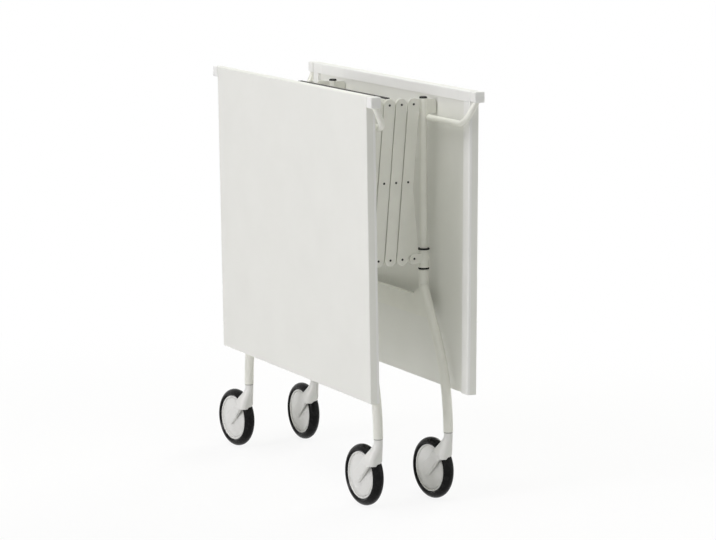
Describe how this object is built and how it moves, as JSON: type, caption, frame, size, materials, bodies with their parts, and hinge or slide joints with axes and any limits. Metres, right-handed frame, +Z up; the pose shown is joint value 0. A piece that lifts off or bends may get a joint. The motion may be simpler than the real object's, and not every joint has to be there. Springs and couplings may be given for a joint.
{
  "type": "folding serving trolley",
  "caption": "Slim folded serving trolley: rimmed trays hang outside upright tube frames, a crossed-bar lattice spreads the frames, and trays flip up to lie level, on trailing casters.",
  "frame": {"origin": "middle of the four-caster stance, on the floor, midway between the two frames as folded", "axes": "+X across the trays, to the right seen from the front tray; +Y from the front frame to the rear frame, the way the lattice folds; +Z up"},
  "size_m": [0.6894, 0.202, 0.6801],
  "materials": {
    "white_laminate": "smooth white laminate on board, satin",
    "white_paint": "white powder coat, satin",
    "white_moulding": "white moulded plastic, semi-gloss",
    "black_rubber": "matt black rubber",
    "black_plastic": "black moulded bush",
    "black_tyre": "soft black tread, slightly worn",
    "pin_steel": "turned steel",
    "dark_rivet": "dark steel rivet"
  },
  "bodies": {
    "rear_frame": {"rear_posts": "white_paint", "rear_legs": "white_paint", "rear_crossbar": "white_paint", "rear_yoke": "white_paint", "rear_hinge_ears": "white_moulding", "rear_post_caps": "black_rubber", "rear_head_brackets": "white_paint"},
    "rear_tray": {"rear_tray_panel": "white_laminate", "rear_tray_side_rims": "white_moulding", "rear_tray_end_rail": "white_moulding", "rear_tray_corner_caps": "white_moulding", "rear_tray_hinge_pins": "pin_steel"},
    "rear_slide_sleeves": {"rear_sleeves": "white_paint", "rear_sleeve_bushes": "black_plastic", "rear_sleeve_studs": "dark_rivet"},
    "front_frame": {"front_posts": "white_paint", "front_legs": "white_paint", "front_crossbar": "white_paint", "front_yoke": "white_paint", "front_hinge_ears": "white_moulding", "front_post_caps": "black_rubber", "front_head_brackets": "white_paint", "front_bracket_studs": "dark_rivet"},
    "front_tray": {"front_tray_panel": "white_laminate", "front_tray_side_rims": "white_moulding", "front_tray_end_rail": "white_moulding", "front_tray_corner_caps": "white_moulding", "front_tray_hinge_pins": "pin_steel"},
    "front_slide_sleeves": {"front_sleeves": "white_paint", "front_sleeve_bushes": "black_plastic"},
    "lattice_outer_1": {"outer_bars_1": "white_paint", "lattice_rivets_1": "dark_rivet"},
    "lattice_inner_1": {"inner_bars_1": "white_paint"},
    "lattice_outer_2": {"outer_bars_2": "white_paint", "lattice_rivets_2": "dark_rivet"},
    "lattice_inner_2": {"inner_bars_2": "white_paint"},
    "lattice_outer_3": {"outer_bars_3": "white_paint", "lattice_rivets_3": "dark_rivet"},
    "lattice_inner_3": {"inner_bars_3": "white_paint"},
    "lattice_outer_4": {"outer_bars_4": "white_paint", "lattice_rivets_4": "dark_rivet"},
    "lattice_inner_4": {"inner_bars_4": "white_paint"},
    "centre_support": {"centre_beam": "white_paint", "centre_strip": "black_rubber"},
    "front_left_swivel": {"front_left_fork": "white_moulding", "front_left_caster_pins": "pin_steel"},
    "front_left_wheel": {"front_left_wheel_disc": "white_moulding", "front_left_tyre": "black_tyre"},
    "front_right_swivel": {"front_right_fork": "white_moulding", "front_right_caster_pins": "pin_steel"},
    "front_right_wheel": {"front_right_wheel_disc": "white_moulding", "front_right_tyre": "black_tyre"},
    "rear_left_swivel": {"rear_left_fork": "white_moulding", "rear_left_caster_pins": "pin_steel"},
    "rear_left_wheel": {"rear_left_wheel_disc": "white_moulding", "rear_left_tyre": "black_tyre"},
    "rear_right_swivel": {"rear_right_fork": "white_moulding", "rear_right_caster_pins": "pin_steel"},
    "rear_right_wheel": {"rear_right_wheel_disc": "white_moulding", "rear_right_tyre": "black_tyre"}
  },
  "joints": [
    {"name": "fold", "type": "hinge", "parent": "rear_frame", "child": "lattice_outer_4", "pos_m": [0, 0.0435, 0.65], "axis": [-1, 0, 0], "range_deg": [0, 55.03]},
    {"name": "lower_pivot_4", "type": "hinge", "parent": "lattice_outer_4", "child": "lattice_inner_3", "pos_m": [0, 0.02175, 0.394], "axis": [-1, 0, 0], "range_deg": [-110.07, 0]},
    {"name": "upper_pivot_3", "type": "hinge", "parent": "lattice_inner_3", "child": "lattice_outer_2", "pos_m": [0, 0, 0.65], "axis": [-1, 0, 0], "range_deg": [0, 110.07]},
    {"name": "lower_pivot_2", "type": "hinge", "parent": "lattice_outer_2", "child": "lattice_inner_1", "pos_m": [0, -0.02175, 0.394], "axis": [-1, 0, 0], "range_deg": [-110.07, 0]},
    {"name": "front_frame_pivot", "type": "hinge", "parent": "lattice_inner_1", "child": "front_frame", "pos_m": [0, -0.0435, 0.65], "axis": [-1, 0, 0], "range_deg": [0, 55.04]},
    {"name": "cross_pivot_4", "type": "hinge", "parent": "lattice_outer_4", "child": "lattice_inner_4", "pos_m": [0, 0.03263, 0.522], "axis": [-1, 0, 0], "range_deg": [-110.07, 0]},
    {"name": "cross_pivot_3", "type": "hinge", "parent": "lattice_inner_3", "child": "lattice_outer_3", "pos_m": [0, 0.01087, 0.522], "axis": [-1, 0, 0], "range_deg": [0, 110.07]},
    {"name": "cross_pivot_2", "type": "hinge", "parent": "lattice_outer_2", "child": "lattice_inner_2", "pos_m": [0, -0.01087, 0.522], "axis": [-1, 0, 0], "range_deg": [-110.07, 0]},
    {"name": "cross_pivot_1", "type": "hinge", "parent": "lattice_inner_1", "child": "lattice_outer_1", "pos_m": [0, -0.03263, 0.522], "axis": [-1, 0, 0], "range_deg": [0, 110.07]},
    {"name": "rear_sleeve_pivot", "type": "hinge", "parent": "lattice_inner_4", "child": "rear_slide_sleeves", "pos_m": [0, 0.0435, 0.394], "axis": [-1, 0, 0], "range_deg": [0, 55.04]},
    {"name": "front_sleeve_pivot", "type": "hinge", "parent": "lattice_outer_1", "child": "front_slide_sleeves", "pos_m": [0, -0.0435, 0.394], "axis": [-1, 0, 0], "range_deg": [-55.04, 0]},
    {"name": "centre_pivot", "type": "hinge", "parent": "lattice_outer_2", "child": "centre_support", "pos_m": [0, 0, 0.65], "axis": [-1, 0, 0], "range_deg": [-55.04, 0]},
    {"name": "rear_tray_hinge", "type": "hinge", "parent": "rear_frame", "child": "rear_tray", "pos_m": [0, 0.092, 0.671], "axis": [1, 0, 0], "range_deg": [0, 270.61]},
    {"name": "front_tray_hinge", "type": "hinge", "parent": "front_frame", "child": "front_tray", "pos_m": [0, -0.092, 0.671], "axis": [-1, 0, 0], "range_deg": [0, 270.61]},
    {"name": "front_left_swivel_turn", "type": "hinge", "parent": "front_frame", "child": "front_left_swivel", "pos_m": [-0.27, -0.0635, 0.1165], "axis": [0, 0, 1], "continuous": true},
    {"name": "front_left_wheel_spin", "type": "hinge", "parent": "front_left_swivel", "child": "front_left_wheel", "pos_m": [-0.30827, -0.06956, 0.051], "axis": [-0.1564, 0.9877, 0], "continuous": true},
    {"name": "front_right_swivel_turn", "type": "hinge", "parent": "front_frame", "child": "front_right_swivel", "pos_m": [0.27, -0.0635, 0.1165], "axis": [0, 0, 1], "continuous": true},
    {"name": "front_right_wheel_spin", "type": "hinge", "parent": "front_right_swivel", "child": "front_right_wheel", "pos_m": [0.23153, -0.06815, 0.051], "axis": [-0.1201, 0.9928, 0], "continuous": true},
    {"name": "rear_left_swivel_turn", "type": "hinge", "parent": "rear_frame", "child": "rear_left_swivel", "pos_m": [-0.27, 0.0635, 0.1165], "axis": [0, 0, 1], "continuous": true},
    {"name": "rear_left_wheel_spin", "type": "hinge", "parent": "rear_left_swivel", "child": "rear_left_wheel", "pos_m": [-0.30869, 0.06127, 0.051], "axis": [-0.0576, 0.9983, 0], "continuous": true},
    {"name": "rear_right_swivel_turn", "type": "hinge", "parent": "rear_frame", "child": "rear_right_swivel", "pos_m": [0.27, 0.0635, 0.1165], "axis": [0, 0, 1], "continuous": true},
    {"name": "rear_right_wheel_spin", "type": "hinge", "parent": "rear_right_swivel", "child": "rear_right_wheel", "pos_m": [0.23174, 0.05737, 0.051], "axis": [-0.1582, 0.9874, 0], "continuous": true}
  ],
  "couplings": [
    {"joint": "lower_pivot_4", "follows": "fold", "ratio": -2},
    {"joint": "upper_pivot_3", "follows": "fold", "ratio": 2},
    {"joint": "lower_pivot_2", "follows": "fold", "ratio": -2},
    {"joint": "front_frame_pivot", "follows": "fold", "ratio": 1},
    {"joint": "cross_pivot_4", "follows": "fold", "ratio": -2},
    {"joint": "cross_pivot_3", "follows": "fold", "ratio": 2},
    {"joint": "cross_pivot_2", "follows": "fold", "ratio": -2},
    {"joint": "cross_pivot_1", "follows": "fold", "ratio": 2},
    {"joint": "rear_sleeve_pivot", "follows": "fold", "ratio": 1},
    {"joint": "front_sleeve_pivot", "follows": "fold", "ratio": -1},
    {"joint": "centre_pivot", "follows": "fold", "ratio": -1},
    {"joint": "rear_tray_hinge", "follows": "fold", "ratio": 4.9171},
    {"joint": "front_tray_hinge", "follows": "fold", "ratio": 4.9171}
  ]
}
